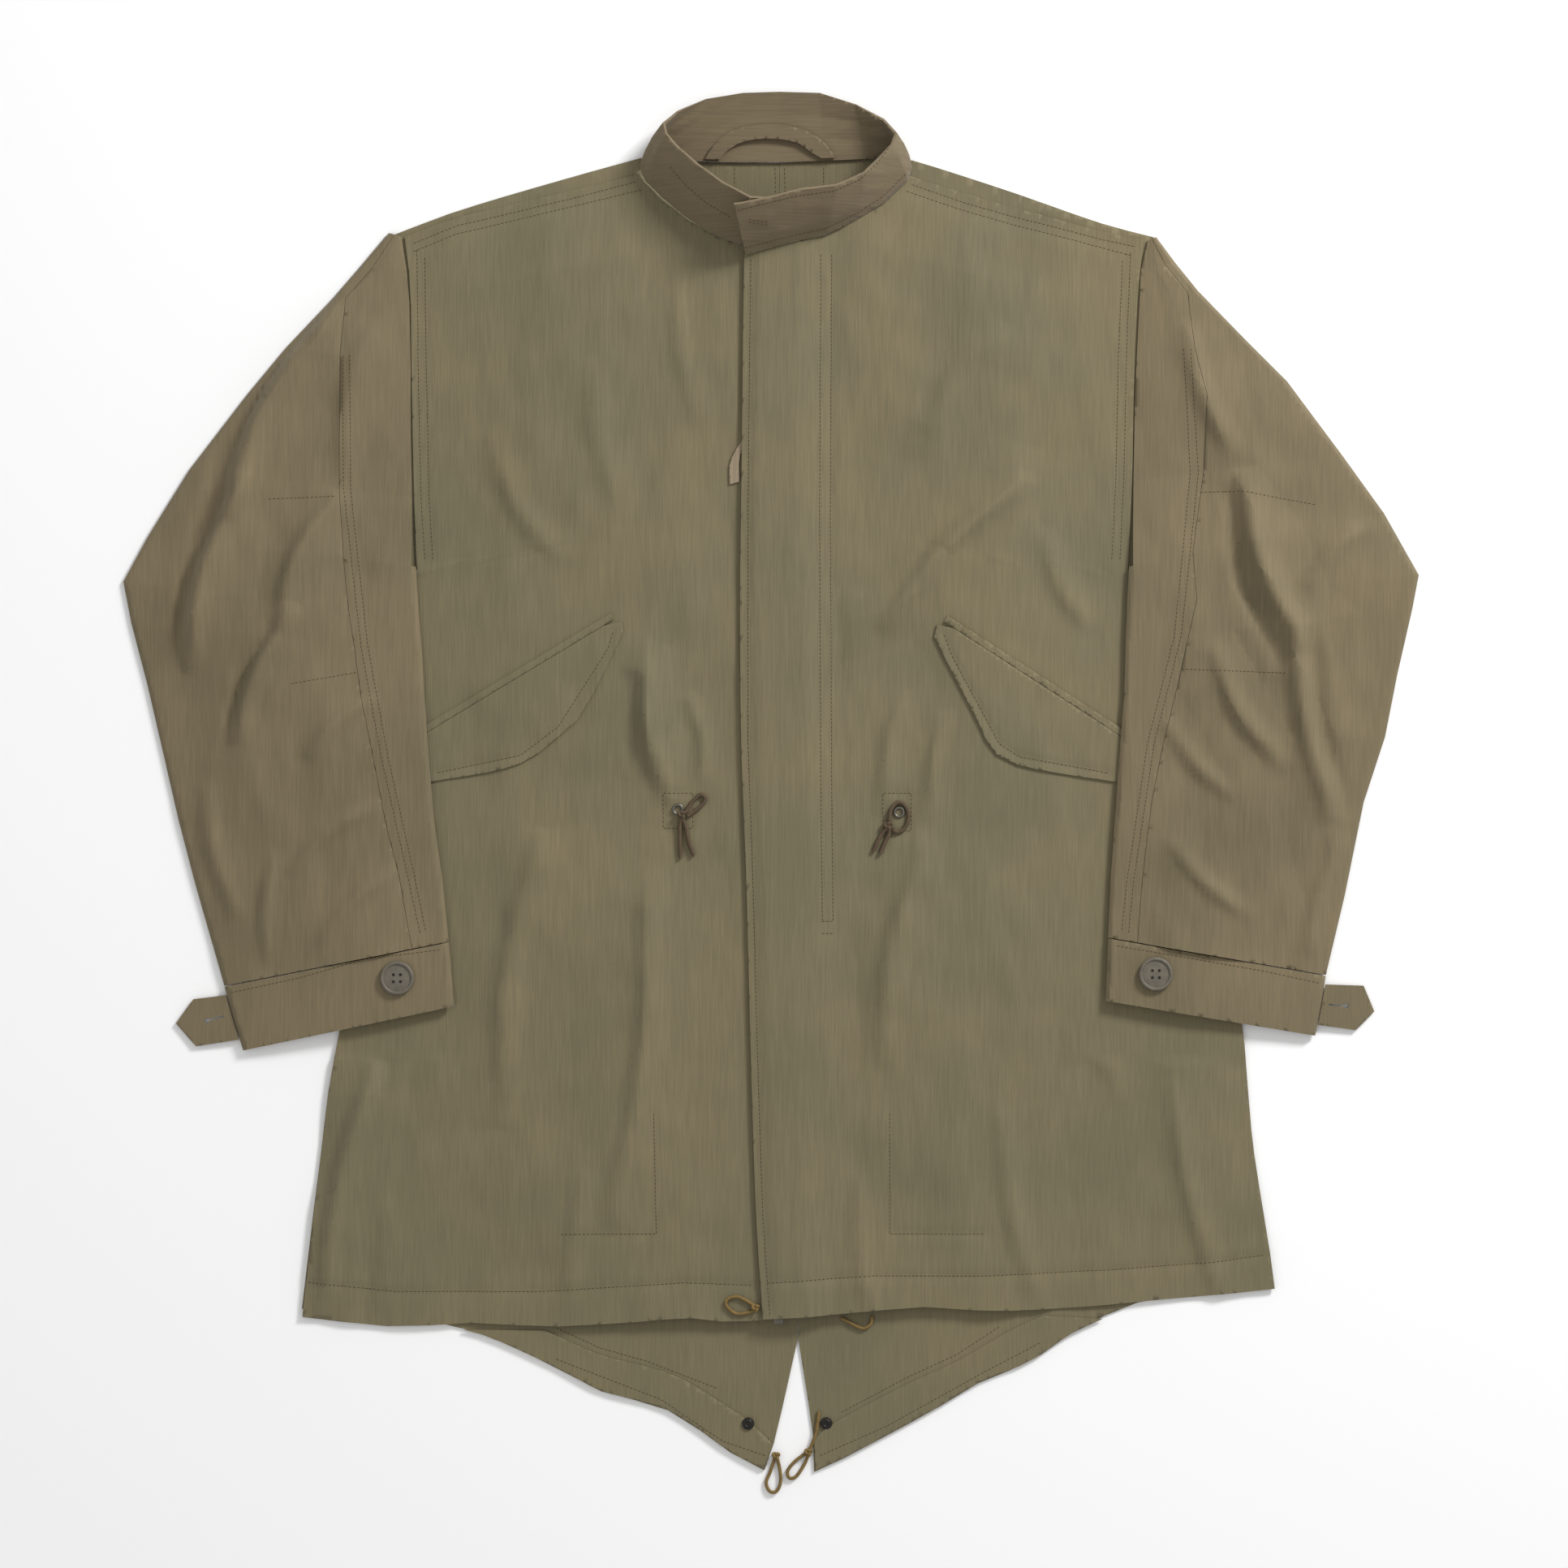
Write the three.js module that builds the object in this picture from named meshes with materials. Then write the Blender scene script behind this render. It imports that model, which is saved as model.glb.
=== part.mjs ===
// A fishtail parka laid flat on its back, front up. Millimetres, +Z up, +Y towards the collar.
// "right" and "left" are the wearer's, so the right half lies on the -X side.
import * as THREE from "three";

// Driving dimensions.
const CLOTH = 1.2; // one layer of cotton-nylon cloth with its turnings
const SEAM = 0.3; // between pieces that are sewn together
const LAYER_GAP = 0.3; // between layers that lie on each other
const BODY_LOFT = 5; // air between the fronts and the back
const BODY_LOFT_RUN = 110; // over which the loft grows from the sleeve inwards
const SHOULDER_RUN = 60; // over which the loft grows from the shoulder seam down
const SHOULDER = { x: 274.5, y: 404.5, rise: 0.27 }; // the sloping shoulder seam
const ARMPIT_Y = 146;
const CUFF_TOP_Y = -118;
const SLEEVE_LINE = { top: 264, low: 238 }; // the sleeve's inner edge over the fronts
const UNDER_SLEEVE = 4.7; // the height at which a sleeve lies over the body
const SLEEVE_FOLD = 4; // a sleeve's thickness at its folded edges
const SLEEVE_LOFT = 5;
const SLEEVE_RAMP = { from: 45, to: 15 }; // where a sleeve climbs onto the body's side
const FOLD_INSET = 3; // from a folded edge to where the layers are level
const ARMHOLE_STATION = 6; // the sleeve is open to the body above this station
const ARMHOLE_SEAM = 0.6;
const FLY = { edge: 3.2, full: 5, rise: 10, ramp: [24, 52] }; // how far the fly stands off
const ZIP = { x: 5, low: -396, high: 384, tape: 1, lift: 1.6 };
const ZIP_SLIDER_Y = 278;
const COLLAR_WALL = 2;
const COLLAR_BULGE = 2;
const CUFF_WALL = 1.8;
const CUFF_FOLD = 5.4;
const CUFF_LOFT = 2;
const FLAP = 1.2;
const WELT = { wide: 5, thick: 1.3 };
const CASING = 1;
const BUTTON = { radius: 12.7, thick: 3, hole: 1.1, pitch: 2.6 }; // 40-line, four holes
const EYELET_STAND = 0.7; // clears the slope of the cloth around it
const EYELET = { bore: 2.2, radius: 4.5, thick: 1.2 };
const SNAP = { radius: 4.2, thick: 2 };
const DRAWCORD = 3;
const SHOCK_CORD = 2.5;
const CORD_SIDES = 8;

const COLOURS = {
  shell: "#726848",
  collar: "#70664a",
  trim: "#6c6244",
  drawcord: "#54442f",
  shock_cord: "#7d6327",
  metal: "#8d8a80",
  dark_metal: "#35332f",
  button: "#615b4c",
  ribbon: "#8a7b64",
};

const group = new THREE.Group();

const table = (columns, rows) =>
  rows.map((row) => Object.fromEntries(columns.map((name, i) => [name, row[i]])));

const lerp = THREE.MathUtils.lerp;
const smooth = (from, to, value) => THREE.MathUtils.smoothstep(value, from, to);

// Evenly spaced shares with whole steps between the given breaks.
function shares(breaks, counts) {
  const found = [breaks[0]];
  counts.forEach((count, i) => {
    for (let step = 1; step <= count; step++) {
      found.push(lerp(breaks[i], breaks[i + 1], step / count));
    }
  });
  return found;
}

// A smooth curve through a table's rows; it turns sharply only at a row marked as a corner.
function edge(rows) {
  const slope = (i, a, b) => {
    const smoothRow = i > 0 && i < rows.length - 1 && !rows[i].corner;
    const before = smoothRow ? rows[i - 1] : a;
    const after = smoothRow ? rows[i + 1] : b;
    const span = after.at - before.at;
    return { x: (after.x - before.x) / span, y: (after.y - before.y) / span };
  };
  return (at) => {
    const next = Math.max(1, rows.findIndex((row) => at <= row.at + 1e-9));
    const a = rows[next - 1];
    const b = rows[next];
    const span = b.at - a.at;
    const t = (at - a.at) / span;
    const from = slope(next - 1, a, b);
    const to = slope(next, a, b);
    const blend = (key) =>
      (2 * t ** 3 - 3 * t ** 2 + 1) * a[key] +
      (t ** 3 - 2 * t ** 2 + t) * span * from[key] +
      (3 * t ** 2 - 2 * t ** 3) * b[key] +
      (t ** 3 - t ** 2) * span * to[key];
    return { x: blend("x"), y: blend("y") };
  };
}

const outline = (rows) => edge(table(["x", "y", "at", "corner"], rows));
const straight = (a, b) => (at) => ({ x: lerp(a.x, b.x, at), y: lerp(a.y, b.y, at) });

// The patch between four edges: low and high run across it, inner and outer up it.
function patch({ low, high, inner, outer }) {
  const corner = { a: low(0), b: low(1), c: high(0), d: high(1) };
  return (u, v) => {
    const value = (key) =>
      (1 - v) * low(u)[key] +
      v * high(u)[key] +
      (1 - u) * inner(v)[key] +
      u * outer(v)[key] -
      (1 - u) * (1 - v) * corner.a[key] -
      u * (1 - v) * corner.b[key] -
      (1 - u) * v * corner.c[key] -
      u * v * corner.d[key];
    return { x: value("x"), y: value("y") };
  };
}

// A closed wall between two grids of points. A missing cell leaves an opening in it.
function wallBetween(outer, inner, { ring = false, missing = () => false } = {}) {
  const rows = outer.length;
  const columns = outer[0].length;
  const cellColumns = ring ? columns : columns - 1;
  const corners = [];
  const there = (i, j) => {
    const column = ring ? (j + cellColumns) % cellColumns : j;
    const inside = i >= 0 && i < rows - 1 && column >= 0 && column < cellColumns;
    return inside && !missing(i, column);
  };
  const quad = (a, b, c, d) => corners.push(a, b, c, a, c, d);
  for (let i = 0; i < rows - 1; i++) {
    for (let j = 0; j < cellColumns; j++) {
      if (!there(i, j)) continue;
      const k = (j + 1) % columns;
      quad(outer[i][j], outer[i][k], outer[i + 1][k], outer[i + 1][j]);
      quad(inner[i][j], inner[i + 1][j], inner[i + 1][k], inner[i][k]);
      if (!there(i - 1, j)) quad(inner[i][j], inner[i][k], outer[i][k], outer[i][j]);
      if (!there(i + 1, j)) {
        quad(inner[i + 1][k], inner[i + 1][j], outer[i + 1][j], outer[i + 1][k]);
      }
      if (!there(i, j - 1)) {
        quad(inner[i + 1][j], inner[i][j], outer[i][j], outer[i + 1][j]);
      }
      if (!there(i, j + 1)) {
        quad(inner[i][k], inner[i + 1][k], outer[i + 1][k], outer[i][k]);
      }
    }
  }
  return facingOut(corners);
}

// The triangles' geometry, turned so that its faces point out of the solid.
function facingOut(corners) {
  let volume = 0;
  for (let i = 0; i < corners.length; i += 3) {
    volume += corners[i].dot(corners[i + 1].clone().cross(corners[i + 2]));
  }
  if (volume < 0) {
    for (let i = 0; i < corners.length; i += 3) {
      [corners[i + 1], corners[i + 2]] = [corners[i + 2], corners[i + 1]];
    }
  }
  return new THREE.BufferGeometry().setFromPoints(corners);
}

// A layer of cloth over a patch, from its underside's height.
function layer(place, columns, rows, underside, thick) {
  const grid = (lift) =>
    rows.map((v) =>
      columns.map((u) => {
        const { x, y } = place(u, v);
        return new THREE.Vector3(x, y, underside(x, y) + lift);
      }),
    );
  return wallBetween(grid(thick), grid(0));
}

function add(name, geometry, colour, { roughness = 0.9, metalness = 0 } = {}) {
  const material = new THREE.MeshStandardMaterial({
    color: COLOURS[colour],
    roughness,
    metalness,
  });
  const mesh = new THREE.Mesh(geometry, material);
  mesh.name = name;
  group.add(mesh);
  return mesh;
}

// The largest folds of the fronts and the sleeves, each a ridge between two points.
const FOLD_COLUMNS = ["x1", "y1", "x2", "y2", "wide", "high"];
const FRONT_FOLDS = table(FOLD_COLUMNS, [
  [-92, 78, -80, 6, 16, 4],
  [-175, -60, -196, -230, 20, 3],
  [-92, -90, -112, -300, 20, 3],
  [176, 216, 92, 128, 17, 4],
  [110, -60, 84, -190, 18, 4],
  [168, 330, 120, 270, 22, 2],
  [-300, -230, -330, -372, 16, 4],
]);
const SLEEVE_FOLDS = table(FOLD_COLUMNS, [
  [-335, 338, -400, 205, 20, 6],
  [-400, 205, -428, 110, 20, 5],
  [-330, 200, -362, 130, 16, 4],
  [-358, 118, -392, 40, 16, 4],
  [352, 214, 388, 110, 18, 5],
  [388, 110, 410, -10, 18, 4],
  [330, 90, 372, 20, 16, 3],
]);

function foldHeight(folds, x, y) {
  return folds.reduce((sum, fold) => {
    const along = { x: fold.x2 - fold.x1, y: fold.y2 - fold.y1 };
    const length2 = along.x ** 2 + along.y ** 2;
    const reach = ((x - fold.x1) * along.x + (y - fold.y1) * along.y) / length2;
    const t = THREE.MathUtils.clamp(reach, 0, 1);
    const away = Math.hypot(x - fold.x1 - t * along.x, y - fold.y1 - t * along.y);
    return sum + fold.high * Math.exp(-((away / fold.wide) ** 2));
  }, 0);
}

const shoulderY = (x) => SHOULDER.y + (SHOULDER.x - Math.abs(x)) * SHOULDER.rise;

function bodyLoft(x, y) {
  const down = THREE.MathUtils.clamp((ARMPIT_Y - y) / (ARMPIT_Y - CUFF_TOP_Y), 0, 1);
  const line = lerp(SLEEVE_LINE.top, SLEEVE_LINE.low, down);
  const across = smooth(6, BODY_LOFT_RUN, line - Math.abs(x));
  const below = smooth(0, SHOULDER_RUN, shoulderY(x) - y);
  const fold = foldHeight(FRONT_FOLDS, x, y) * smooth(2, 30, line - Math.abs(x));
  const hemFold = y < -215 ? foldHeight(FRONT_FOLDS, x, y) : 0;
  return BODY_LOFT * across * below + Math.max(fold, hemFold);
}

const frontUnderside = (x, y) => CLOTH + LAYER_GAP + bodyLoft(x, y);
const frontTop = (x, y) => frontUnderside(x, y) + CLOTH;

// The fly's folded edge, which lies over the right front.
const flyEdge = outline([
  [-6, -398, 0],
  [-11, -322, 0.1],
  [-15, -202, 0.25],
  [-18, -82, 0.4],
  [-22, 26, 0.54],
  [-23, 133, 0.67],
  [-22, 218, 0.78],
  [-20, 391, 1],
]);

function flyLift(x, y) {
  const share = THREE.MathUtils.clamp((y + 398) / 789, 0, 1);
  const inside = x - flyEdge(share).x;
  const standing = lerp(FLY.edge, FLY.full, smooth(0, FLY.rise, inside));
  return standing * (1 - smooth(FLY.ramp[0], FLY.ramp[1], x));
}

const leftUnderside = (x, y) => frontUnderside(x, y) + flyLift(x, y);
const leftTop = (x, y) => leftUnderside(x, y) + CLOTH;

function fronts() {
  const rightEdges = {
    low: outline([
      [-348, -397, 0],
      [-313, -401, 0.1],
      [-278, -404, 0.2],
      [-211, -401, 0.39],
      [-173, -404, 0.5],
      [-96, -400, 0.71],
      [-64, -397, 0.8],
      [-33, -400, 0.89],
      [6, -398, 1],
    ]),
    high: outline([
      [-272, 405, 0],
      [-234, 419, 0.14],
      [-150, 439, 0.44],
      [-97, 452, 0.63, true],
      [-80, 434, 0.7],
      [-62, 419, 0.77],
      [-41, 406, 0.85],
      [-22, 399, 0.91],
      [6, 405, 1],
    ]),
    inner: outline([
      [-348, -397, 0],
      [-345, -371, 0.03],
      [-334, -273, 0.15],
      [-327, -218, 0.22],
      [-320, -182, 0.27],
      [-312, -22, 0.47],
      [-306, 146, 0.675, true],
      [-263, 158, 0.69, true],
      [-265, 212, 0.76],
      [-267, 311, 0.88],
      [-268, 370, 0.955],
      [-272, 405, 1],
    ]),
    outer: straight({ x: 6, y: -398 }, { x: 6, y: 405 }),
  };
  add(
    "right_front",
    layer(
      patch(rightEdges),
      shares([0, 0.63, 1], [7, 6]),
      shares([0, 0.675, 0.69, 1], [20, 1, 9]),
      frontUnderside,
      CLOTH,
    ),
    "shell",
  );
  const leftEdges = {
    low: outline([
      [-6, -398, 0],
      [31, -396, 0.1],
      [74, -392, 0.21],
      [112, -389, 0.31],
      [161, -392, 0.44],
      [205, -391, 0.56],
      [249, -388, 0.67],
      [278, -385, 0.75],
      [336, -380, 0.9],
      [374, -376, 1],
    ]),
    high: outline([
      [-20, 391, 0],
      [10, 400, 0.1],
      [40, 406, 0.2],
      [62, 417, 0.27],
      [83, 430, 0.34],
      [101, 451, 0.41, true],
      [145, 437, 0.56],
      [180, 427, 0.68],
      [246, 409, 0.9],
      [277, 403, 1],
    ]),
    inner: flyEdge,
    outer: outline([
      [374, -376, 0],
      [371, -353, 0.03],
      [357, -262, 0.15],
      [350, -181, 0.25],
      [324, -22, 0.45],
      [308, 146, 0.665, true],
      [265, 158, 0.68, true],
      [268, 224, 0.77],
      [270, 318, 0.89],
      [273, 370, 0.955],
      [277, 403, 1],
    ]),
  };
  add(
    "left_front",
    layer(
      patch(leftEdges),
      shares([0, 0.04, 0.14, 0.22, 0.41, 1], [1, 2, 1, 2, 8]),
      shares([0, 0.665, 0.68, 1], [20, 1, 9]),
      leftUnderside,
      CLOTH,
    ),
    "shell",
  );
}

function back() {
  const halves = {
    right_back: {
      low: outline([
        [-348.5, -391, 0],
        [-278, -397, 0.2],
        [-239, -403, 0.31],
        [-209, -412, 0.4],
        [-161, -434, 0.54],
        [-127, -452, 0.64],
        [-82, -464, 0.77],
        [-59, -477, 0.84],
        [-33, -496, 0.92],
        [-5, -511, 1],
      ]),
      high: outline([
        [-282, 406, 0],
        [-234, 424, 0.16],
        [-150, 449, 0.45],
        [-92, 465, 0.66, true],
        [-59, 461, 0.77],
        [6, 460, 1],
      ]),
      inner: outline([
        [-348.5, -391, 0],
        [-334, -273, 0.15],
        [-320, -182, 0.26],
        [-312, -22, 0.46],
        [-306, 148, 0.675, true],
        [-297, 218, 0.76],
        [-288, 308, 0.88],
        [-282, 406, 1],
      ]),
      outer: outline([
        [-5, -511, 0],
        [2, -491, 0.02],
        [19.7, -414, 0.1, true],
        [14, -82, 0.44],
        [9, 218, 0.75],
        [6, 460, 1],
      ]),
    },
    left_back: {
      low: outline([
        [32, -512.1, 0],
        [54, -502, 0.07],
        [86, -485, 0.16],
        [121, -466, 0.27],
        [158, -444, 0.37],
        [191, -431, 0.47],
        [220, -411, 0.56],
        [237, -401, 0.61],
        [278, -385, 0.73],
        [373, -375, 1],
      ]),
      high: outline([
        [6.3, 460, 0],
        [69, 463, 0.23],
        [100, 463, 0.34, true],
        [109, 461, 0.37],
        [180, 438, 0.63],
        [246, 415, 0.86],
        [284, 405, 1],
      ]),
      inner: outline([
        [32, -512.1, 0],
        [31, -484, 0.03],
        [20.3, -414, 0.1, true],
        [14.3, -82, 0.44],
        [9.3, 218, 0.75],
        [6.3, 460, 1],
      ]),
      outer: outline([
        [373, -375, 0],
        [357, -262, 0.15],
        [350, -181, 0.24],
        [324, -22, 0.44],
        [308, 148, 0.665, true],
        [299, 218, 0.76],
        [291, 308, 0.88],
        [284, 405, 1],
      ]),
    },
  };
  const rows = {
    right_back: shares([0, 0.02, 0.1, 0.675, 1], [1, 3, 12, 7]),
    left_back: shares([0, 0.03, 0.1, 0.665, 1], [1, 3, 12, 7]),
  };
  for (const [name, edges] of Object.entries(halves)) {
    const columns = shares([0, 1], [14]);
    add(name, layer(patch(edges), columns, rows[name], () => 0, CLOTH), "shell");
  }
}

// The casings that are sewn along the fishtail's hem, on the inside of the back.
function tailCasings() {
  const strips = {
    right_tail_casing: {
      low: outline([
        [-228, -406.5, 0],
        [-209, -412, 0.09],
        [-161, -433.5, 0.3],
        [-127, -451.5, 0.46],
        [-82, -463.5, 0.66],
        [-59, -476.5, 0.77],
        [-33, -495.5, 0.89],
        [-6, -510, 1],
      ]),
      high: outline([
        [-168, -407, 0],
        [-127, -425, 0.26],
        [-92, -434, 0.47],
        [-68, -442, 0.62],
        [-35, -462, 0.8],
        [-17, -474, 0.9],
        [1, -491, 1],
      ]),
    },
    left_tail_casing: {
      low: outline([
        [33, -510.6, 0],
        [54, -501.5, 0.1],
        [86, -484.5, 0.25],
        [121, -465.5, 0.4],
        [158, -443.5, 0.57],
        [191, -430.5, 0.72],
        [220, -411, 0.86],
        [246, -398.5, 1],
      ]),
      high: outline([
        [32, -487, 0],
        [48, -475, 0.12],
        [103, -446, 0.42],
        [138, -430, 0.62],
        [176, -408, 0.84],
        [202, -396, 1],
      ]),
    },
  };
  for (const [name, { low, high }] of Object.entries(strips)) {
    const place = (u, v) => {
      const a = low(u);
      const b = high(u);
      return { x: lerp(a.x, b.x, v), y: lerp(a.y, b.y, v) };
    };
    const underside = () => CLOTH + LAYER_GAP;
    add(name, layer(place, shares([0, 1], [16]), [0, 0.5, 1], underside, CASING), "shell");
  }
}

// Each station of a sleeve: its outer edge, its inner edge, where its bottom layer ends
// on the body's side, and the share across at which the front seam runs.
const STATION_COLUMNS = ["ox", "oy", "ix", "iy", "bx", "by", "seam"];
const SLEEVES = {
  right: table(STATION_COLUMNS, [
    [-284, 408, -274, 405, -283, 406, 0.3],
    [-305, 383, -270, 380, -284.5, 380, 0.2],
    [-325, 360, -268, 356, -286, 350, 0.12],
    [-360, 323, -267, 308, -288, 308, 0.42],
    [-389, 288, -267, 260, -292.5, 262, 0.56],
    [-432, 232, -266, 212, -297.5, 218, 0.67],
    [-463, 182, -263.5, 160, -306.5, 153, 0.74],
    [-481, 149, -261, 122, -261, 122, 0.77],
    [-475, 118, -259, 98, -259, 98, 0.775],
    [-463, 72, -257, 62, -257, 62, 0.78],
    [-451, 20, -254, 20, -254, 20, 0.8],
    [-440, -28, -250, -28, -250, -28, 0.82],
    [-428, -74, -244, -70, -244, -70, 0.84],
    [-406, -151, -239, -118, -239, -118, 0.85],
  ]),
  left: table(STATION_COLUMNS, [
    [286, 405, 279, 402, 285, 403, 0.3],
    [300, 386, 274, 380, 287, 380, 0.2],
    [317, 365, 273, 356, 289, 350, 0.12],
    [352, 329, 271, 314, 291.5, 308, 0.45],
    [383, 298, 269.5, 278, 294, 268, 0.52],
    [424, 243, 268.5, 224, 299.5, 218, 0.66],
    [455, 200, 265.5, 160, 308.5, 153, 0.76],
    [481, 154, 264, 130, 264, 130, 0.77],
    [476, 128, 263, 104, 263, 104, 0.79],
    [465, 80, 262, 66, 262, 66, 0.82],
    [456, 34, 259, 28, 259, 28, 0.85],
    [440, -15, 256, -14, 256, -14, 0.87],
    [426, -84, 252, -70, 252, -70, 0.88],
    [412, -143, 250, -115, 250, -115, 0.88],
  ]),
};
const SIDE_SEAM = { right: [-306, 0.043], left: [308, 0.128] };
const BOTTOM_SEAM = 0.5;

// The underside of what lies over the body's side: on the ground outside, raised over it.
function overBody(side, x, y) {
  const [top, flare] = SIDE_SEAM[side];
  const line = Math.abs(top) + (ARMPIT_Y - y) * flare;
  const outside = Math.abs(x) - line;
  const near = 1 - smooth(SLEEVE_RAMP.to, SLEEVE_RAMP.from, outside);
  return UNDER_SLEEVE * near * (1 - smooth(160, 200, y));
}

// A flattened tube's section: its slots in order round it, as shares across and layers.
function section(from, to, slots, shape) {
  const width = from.distanceTo(to);
  const across = to.clone().sub(from).divideScalar(width);
  return slots.map((slot) => {
    const away = shape.away(slot, width);
    const outer = from.clone().addScaledVector(across, away);
    const inner = from.clone().addScaledVector(across, away + shape.inwards(slot));
    const [high, low] = shape.heights(slot, outer);
    return {
      outer: new THREE.Vector3(outer.x, outer.y, high),
      inner: new THREE.Vector3(inner.x, inner.y, low),
    };
  });
}

function sleeve(side) {
  const stations = SLEEVES[side];
  const folds = SLEEVE_FOLDS;
  const topShares = (from, to, steps) =>
    shares([0, 1], [steps]).map((share) => ({ from, to, share, layer: "top" }));
  const bottomShares = (from, to, steps) =>
    shares([0, 1], [steps]).map((share) => ({ from, to, share, layer: "bottom" }));
  const pieces = {
    [`${side}_sleeve_outer`]: {
      slots: [
        ...topShares("seam", 0, 5),
        { layer: "outer_fold" },
        ...bottomShares(0, BOTTOM_SEAM, 4),
      ],
      missing: () => false,
    },
    [`${side}_sleeve_inner`]: {
      slots: [
        ...bottomShares(BOTTOM_SEAM, 1, 4),
        { layer: "inner_fold" },
        ...topShares(1, "seam", 3),
      ],
      missing: (i, j) => i < ARMHOLE_STATION && (j === 4 || j === 5),
    },
  };
  for (const [name, { slots, missing }] of Object.entries(pieces)) {
    const grid = stations.map((station, i) => {
      const from = new THREE.Vector2(station.ox, station.oy);
      const bottomEnd = new THREE.Vector2(station.bx, station.by);
      const topEnd = new THREE.Vector2(station.ix, station.iy);
      const open = i < ARMHOLE_STATION;
      const innerHeight = open ? CLOTH * 2 + LAYER_GAP : UNDER_SLEEVE + SLEEVE_FOLD;
      const share = (slot) => {
        const at = (end) => (end === "seam" ? station.seam : end);
        return lerp(at(slot.from), at(slot.to), slot.share);
      };
      const half = SEAM / 2;
      const nudge = (slot) => {
        const ending = slot.share === (slot.to === "seam" || slot.to === BOTTOM_SEAM ? 1 : 0);
        const seamEnd = slot.from === "seam" || slot.from === BOTTOM_SEAM ? slot.share === 0
          : slot.to === "seam" || slot.to === BOTTOM_SEAM ? ending : false;
        return seamEnd ? (name.endsWith("outer") ? -half : half) : 0;
      };
      const shape = {
        away: (slot, width) => {
          if (slot.layer === "outer_fold") return 0;
          if (slot.layer === "inner_fold") return width;
          const inset = Math.min(FOLD_INSET, width / 4);
          const last = open ? ARMHOLE_SEAM : inset;
          return lerp(inset, width - last, share(slot)) + nudge(slot);
        },
        inwards: (slot) =>
          slot.layer === "outer_fold" ? CLOTH : slot.layer === "inner_fold" ? -CLOTH : 0,
        heights: (slot, { x, y }) => {
          const ground = overBody(side, x, y);
          if (slot.layer === "bottom") return [ground, ground + CLOTH];
          if (slot.layer === "outer_fold") {
            const middle = ground + SLEEVE_FOLD / 2;
            return [middle, middle];
          }
          if (slot.layer === "inner_fold") {
            const middle = (ground + innerHeight) / 2;
            return [middle, middle];
          }
          const f = share(slot);
          const spread = Math.min(1, from.distanceTo(topEnd) / 120);
          const loft = Math.sin(Math.PI * f) * spread;
          const fold = foldHeight(folds, x, y) * Math.min(1, 2.5 * loft);
          const high = lerp(SLEEVE_FOLD, innerHeight, f) + SLEEVE_LOFT * loft + fold;
          return [high, high - CLOTH];
        },
      };
      const top = section(from, topEnd, slots, shape);
      const bottom = section(from, bottomEnd, slots, shape);
      return slots.map((slot, j) => (slot.layer === "bottom" ? bottom[j] : top[j]));
    });
    const pick = (key) => grid.map((row) => row.map((point) => point[key]));
    add(name, wallBetween(pick("outer"), pick("inner"), { missing }), "shell");
  }
}

// A cuff's three stations, from the sleeve's end to its own lower edge.
const CUFFS = {
  right: table(["ox", "oy", "ix", "iy"], [
    [-405.8, -151.7, -238.9, -118.7],
    [-399.5, -175, -237, -142],
    [-392, -199, -235, -166],
  ]),
  left: table(["ox", "oy", "ix", "iy"], [
    [411.8, -143.7, 249.9, -115.7],
    [408.5, -166, 249, -139],
    [404, -188, 248, -162],
  ]),
};

function cuffHeight(side, f, x, y) {
  const inner = UNDER_SLEEVE + CUFF_FOLD;
  return lerp(CUFF_FOLD, inner, f) + CUFF_LOFT * Math.sin(Math.PI * f);
}

function cuff(side) {
  const steps = shares([0, 1], [7]);
  const slots = [
    ...steps.map((share) => ({ share: 1 - share, layer: "top" })),
    { layer: "outer_fold" },
    ...steps.map((share) => ({ share, layer: "bottom" })),
    { layer: "inner_fold" },
  ];
  const shape = {
    away: (slot, width) => {
      if (slot.layer === "outer_fold") return 0;
      if (slot.layer === "inner_fold") return width;
      return lerp(FOLD_INSET, width - FOLD_INSET, slot.share);
    },
    inwards: (slot) =>
      slot.layer === "outer_fold" ? CUFF_WALL : slot.layer === "inner_fold" ? -CUFF_WALL : 0,
    heights: (slot, { x, y }) => {
      const ground = overBody(side, x, y);
      if (slot.layer === "bottom") return [ground, ground + CUFF_WALL];
      if (slot.layer === "top") {
        const high = cuffHeight(side, slot.share, x, y);
        return [high, high - CUFF_WALL];
      }
      const middle = ground + CUFF_FOLD / 2;
      return [middle, middle];
    },
  };
  const grid = CUFFS[side].map((station) => {
    const from = new THREE.Vector2(station.ox, station.oy);
    const to = new THREE.Vector2(station.ix, station.iy);
    return section(from, to, slots, shape);
  });
  const pick = (key) => grid.map((row) => row.map((point) => point[key]));
  add(`${side}_cuff`, wallBetween(pick("outer"), pick("inner"), { ring: true }), "shell");
}

// A cuff's tightening tab, with its keyhole buttonhole; it slopes down to the ground.
const TABS = {
  right: {
    corners: [[-404.6, -158], [-429, -161], [-442, -179], [-427, -196], [-395.1, -191]],
    eye: [-419, -177],
    slotEnd: [-406.5, -173.5],
  },
  left: {
    corners: [[411.5, -150], [440, -151], [448, -170], [434, -184], [406.2, -180]],
    eye: [427, -166],
    slotEnd: [414, -165],
  },
};
const TAB = { thick: 1.8, root: 1.7, tip: 0.2, eye: 1.9, slot: 0.7 };

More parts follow.
